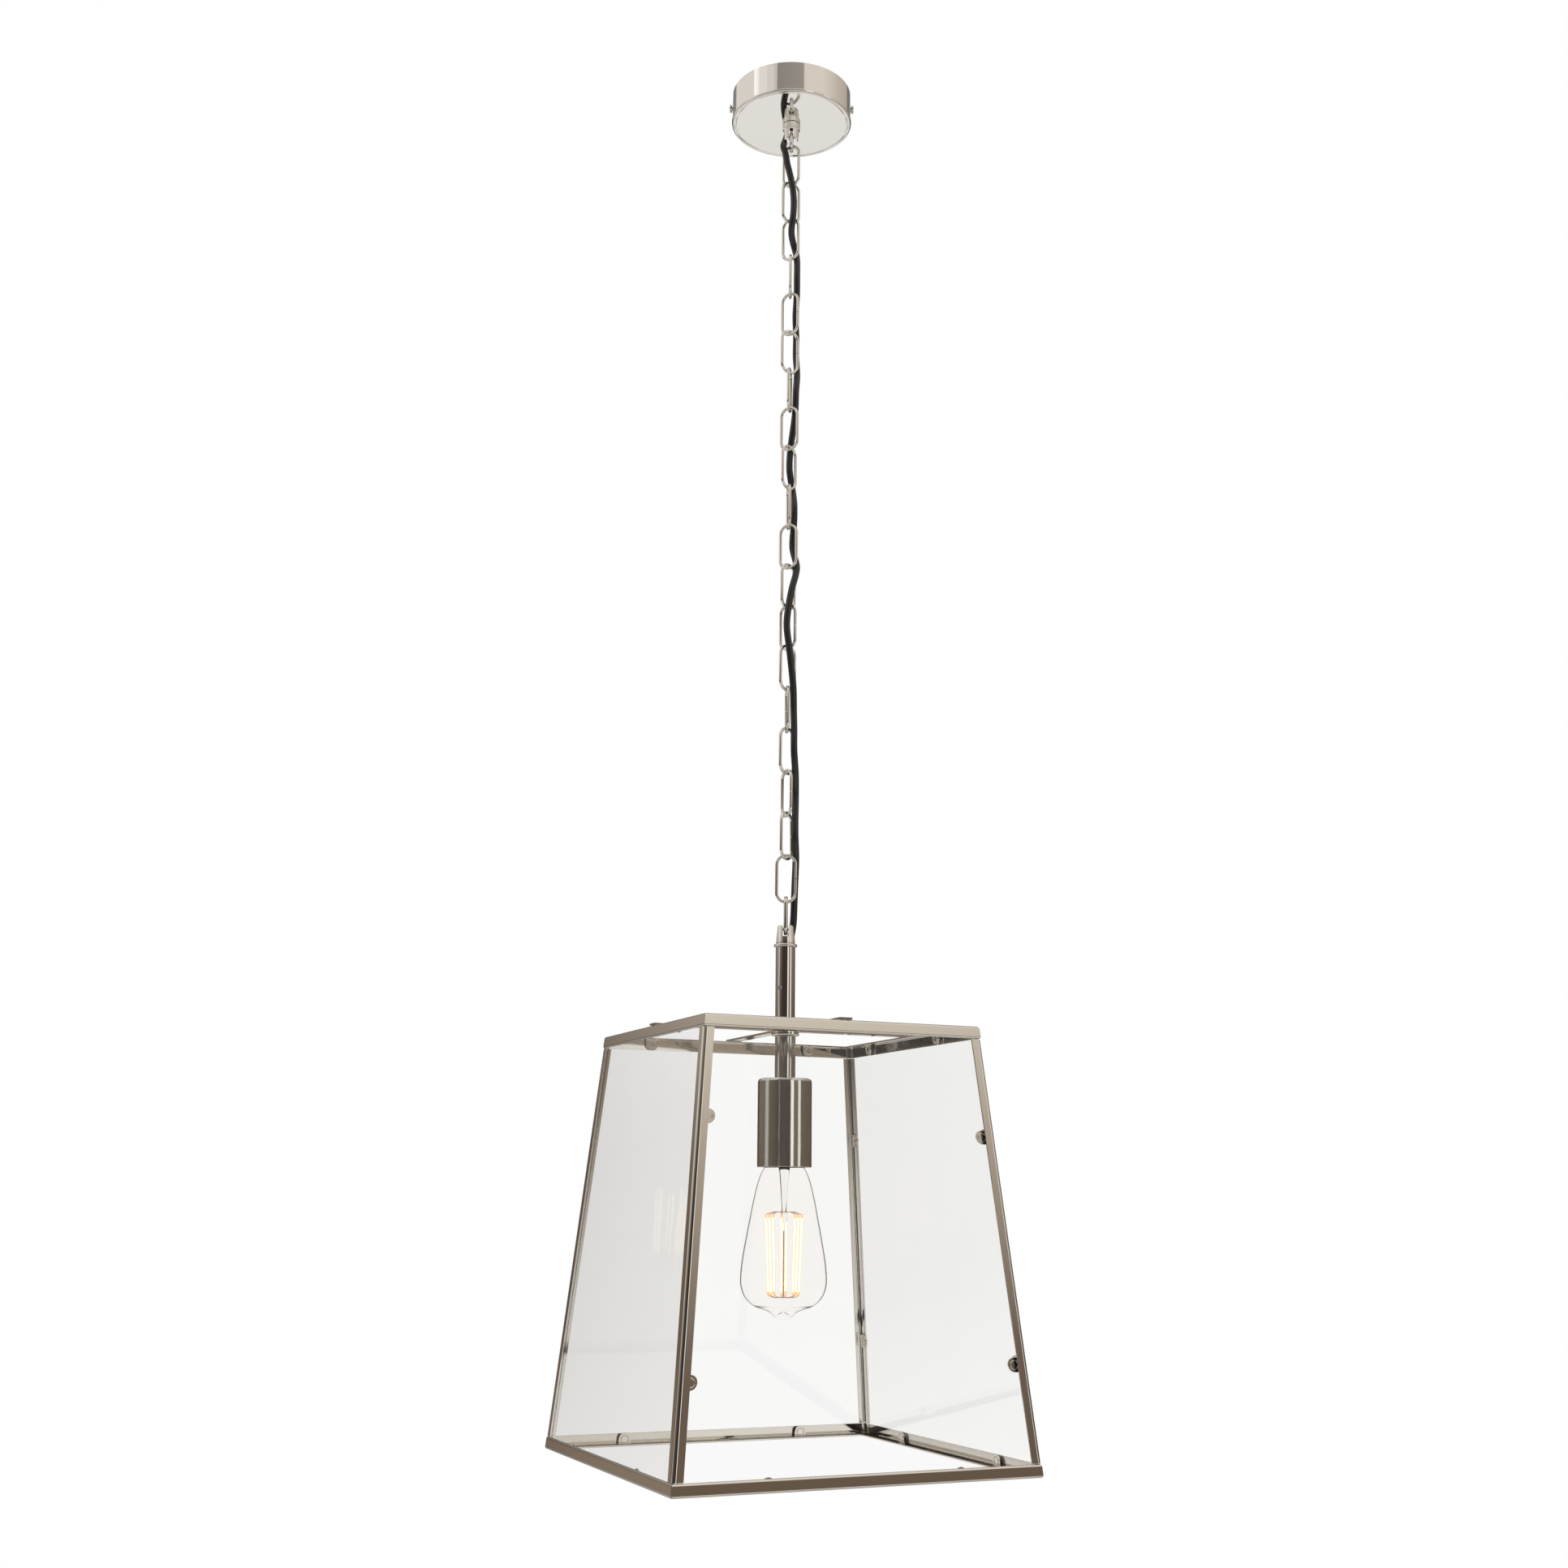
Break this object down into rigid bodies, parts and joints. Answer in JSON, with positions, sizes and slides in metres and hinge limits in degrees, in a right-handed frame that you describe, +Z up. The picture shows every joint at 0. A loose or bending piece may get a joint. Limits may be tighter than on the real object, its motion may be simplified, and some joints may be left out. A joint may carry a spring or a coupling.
{
  "type": "chain-hung square lantern pendant",
  "caption": "Square tapered glass lantern on a linked chain and stem under a round ceiling rose, with one long filament bulb in a tube holder.",
  "frame": {"origin": "centre of the ceiling rose's flat top, where it meets the ceiling", "axes": "+Z up into the ceiling; the lantern's four glass sides face -Y, +X, +Y and -X; the chain hangs along -Z"},
  "size_m": [0.2734, 0.2734, 1.104],
  "materials": {
    "frame_metal": "polished warm nickel plate",
    "chain_metal": "polished nickel plate",
    "zinc_steel": "zinc plated",
    "lamp_metal": "polished nickel plate",
    "contact_brass": "bright brass",
    "glass_clear": "clear float glass",
    "bulb_glass": "clear blown glass",
    "filament_glow": "glowing filament",
    "black_cable": "smooth black sheath",
    "white_plastic": "moulded insulator"
  },
  "bodies": {
    "ceiling": {"ceiling_bracket": "frame_metal", "ceiling_rose": "frame_metal", "rose_screw_left": "zinc_steel", "rose_screw_right": "zinc_steel", "terminal_block": "white_plastic", "rose_loop": "frame_metal", "rose_loop_nut": "zinc_steel", "rose_loop_pin": "zinc_steel", "supply_cable": "black_cable"},
    "upper_ring": {"rose_ring": "chain_metal"},
    "link_01": {"chain_link_01": "chain_metal"},
    "link_02": {"chain_link_02": "chain_metal"},
    "link_03": {"chain_link_03": "chain_metal"},
    "link_04": {"chain_link_04": "chain_metal"},
    "link_05": {"chain_link_05": "chain_metal"},
    "link_06": {"chain_link_06": "chain_metal"},
    "link_07": {"chain_link_07": "chain_metal"},
    "link_08": {"chain_link_08": "chain_metal"},
    "link_09": {"chain_link_09": "chain_metal"},
    "link_10": {"chain_link_10": "chain_metal"},
    "link_11": {"chain_link_11": "chain_metal"},
    "link_12": {"chain_link_12": "chain_metal"},
    "link_13": {"chain_link_13": "chain_metal"},
    "link_14": {"chain_link_14": "chain_metal"},
    "link_15": {"chain_link_15": "chain_metal"},
    "link_16": {"chain_link_16": "chain_metal"},
    "link_17": {"chain_link_17": "chain_metal"},
    "link_18": {"chain_link_18": "chain_metal"},
    "link_19": {"chain_link_19": "chain_metal"},
    "lower_ring": {"stem_ring": "chain_metal"},
    "lantern": {"stem_loop": "frame_metal", "stem_loop_pin": "zinc_steel", "stem_flange": "frame_metal", "stem_tube": "frame_metal", "stem_set_screw": "zinc_steel", "top_cross": "frame_metal", "hub_nut": "frame_metal", "lamp_tube": "lamp_metal", "holder_cover": "lamp_metal", "holder_insert": "white_plastic", "top_rail_front": "frame_metal", "top_rail_right": "frame_metal", "top_rail_back": "frame_metal", "top_rail_left": "frame_metal", "bottom_rail_front": "frame_metal", "bottom_rail_right": "frame_metal", "bottom_rail_back": "frame_metal", "bottom_rail_left": "frame_metal", "corner_post_front_left": "frame_metal", "corner_post_front_right": "frame_metal", "corner_post_back_right": "frame_metal", "corner_post_back_left": "frame_metal", "glass_pane_front": "glass_clear", "glass_pane_right": "glass_clear", "glass_pane_back": "glass_clear", "glass_pane_left": "glass_clear"},
    "contact": {"centre_contact": "contact_brass"},
    "bulb": {"bulb_cap": "contact_brass", "bulb_glass": "bulb_glass", "bulb_filament": "filament_glow"}
  },
  "joints": [
    {"name": "upper_ring_swing", "type": "hinge", "parent": "ceiling", "child": "upper_ring", "pos_m": [0, 0, -0.0395], "axis": [0.9153, -0.4027, 0], "range_deg": [-6, 6], "deforming": ["supply_cable"]},
    {"name": "link_01_swing", "type": "hinge", "parent": "upper_ring", "child": "link_01", "pos_m": [0, 0, -0.05065], "axis": [0.4027, 0.9153, 0], "range_deg": [-6, 6]},
    {"name": "link_02_swing", "type": "hinge", "parent": "link_01", "child": "link_02", "pos_m": [0, 0, -0.08415], "axis": [0.5913, -0.8064, 0], "range_deg": [-6, 6]},
    {"name": "link_03_swing", "type": "hinge", "parent": "link_02", "child": "link_03", "pos_m": [0, 0, -0.11805], "axis": [0.9998, 0.0218, 0], "range_deg": [-6, 6]},
    {"name": "link_04_swing", "type": "hinge", "parent": "link_03", "child": "link_04", "pos_m": [0, 0, -0.15195], "axis": [0.5913, -0.8064, 0], "range_deg": [-6, 6]},
    {"name": "link_05_swing", "type": "hinge", "parent": "link_04", "child": "link_05", "pos_m": [0, 0, -0.18585], "axis": [0.4027, 0.9153, 0], "range_deg": [-6, 6]},
    {"name": "link_06_swing", "type": "hinge", "parent": "link_05", "child": "link_06", "pos_m": [0, 0, -0.21975], "axis": [0.5913, -0.8064, 0], "range_deg": [-6, 6]},
    {"name": "link_07_swing", "type": "hinge", "parent": "link_06", "child": "link_07", "pos_m": [0, 0, -0.25365], "axis": [0.9941, 0.1089, 0], "range_deg": [-6, 6]},
    {"name": "link_08_swing", "type": "hinge", "parent": "link_07", "child": "link_08", "pos_m": [0, 0, -0.28755], "axis": [0.5262, 0.8504, 0], "range_deg": [-6, 6]},
    {"name": "link_09_swing", "type": "hinge", "parent": "link_08", "child": "link_09", "pos_m": [0, 0, -0.32145], "axis": [0.6191, -0.7853, 0], "range_deg": [-6, 6]},
    {"name": "link_10_swing", "type": "hinge", "parent": "link_09", "child": "link_10", "pos_m": [0, 0, -0.35535], "axis": [0.932, 0.3624, 0], "range_deg": [-6, 6]},
    {"name": "link_11_swing", "type": "hinge", "parent": "link_10", "child": "link_11", "pos_m": [0, 0, -0.38925], "axis": [0.2882, 0.9576, 0], "range_deg": [-6, 6]},
    {"name": "link_12_swing", "type": "hinge", "parent": "link_11", "child": "link_12", "pos_m": [0, 0, -0.42315], "axis": [0.6191, -0.7853, 0], "range_deg": [-6, 6]},
    {"name": "link_13_swing", "type": "hinge", "parent": "link_12", "child": "link_13", "pos_m": [0, 0, -0.45705], "axis": [0.9188, 0.3947, 0], "range_deg": [-6, 6]},
    {"name": "link_14_swing", "type": "hinge", "parent": "link_13", "child": "link_14", "pos_m": [0, 0, -0.49095], "axis": [0.4733, -0.8809, 0], "range_deg": [-6, 6]},
    {"name": "link_15_swing", "type": "hinge", "parent": "link_14", "child": "link_15", "pos_m": [0, 0, -0.52485], "axis": [0.96, 0.2798, 0], "range_deg": [-6, 6]},
    {"name": "link_16_swing", "type": "hinge", "parent": "link_15", "child": "link_16", "pos_m": [0, 0, -0.55875], "axis": [0.3049, 0.9524, 0], "range_deg": [-6, 6]},
    {"name": "link_17_swing", "type": "hinge", "parent": "link_16", "child": "link_17", "pos_m": [0, 0, -0.59265], "axis": [0.932, 0.3624, 0], "range_deg": [-6, 6]},
    {"name": "link_18_swing", "type": "hinge", "parent": "link_17", "child": "link_18", "pos_m": [0, 0, -0.62655], "axis": [0.0741, -0.9973, 0], "range_deg": [-6, 6]},
    {"name": "link_19_swing", "type": "hinge", "parent": "link_18", "child": "link_19", "pos_m": [0, 0, -0.66045], "axis": [0.8363, 0.5483, 0], "range_deg": [-6, 6]},
    {"name": "lower_ring_swing", "type": "hinge", "parent": "link_19", "child": "lower_ring", "pos_m": [0, 0, -0.69435], "axis": [0.9153, -0.4027, 0], "range_deg": [-6, 6]},
    {"name": "lantern_swing", "type": "hinge", "parent": "lower_ring", "child": "lantern", "pos_m": [0, 0, -0.7155], "axis": [0.9153, -0.4027, 0], "range_deg": [-6, 6]},
    {"name": "contact_follow", "type": "slide", "parent": "lantern", "child": "contact", "axis": [0, 0, -1], "range_m": [0, 0.0037]},
    {"name": "bulb_turn", "type": "hinge", "parent": "contact", "child": "bulb", "pos_m": [0, 0, -0.863], "axis": [0, 0, -1], "range_deg": [0, 360]}
  ],
  "couplings": [
    {"joint": "contact_follow", "follows": "bulb_turn", "m_per_rad": 0.00057773}
  ]
}
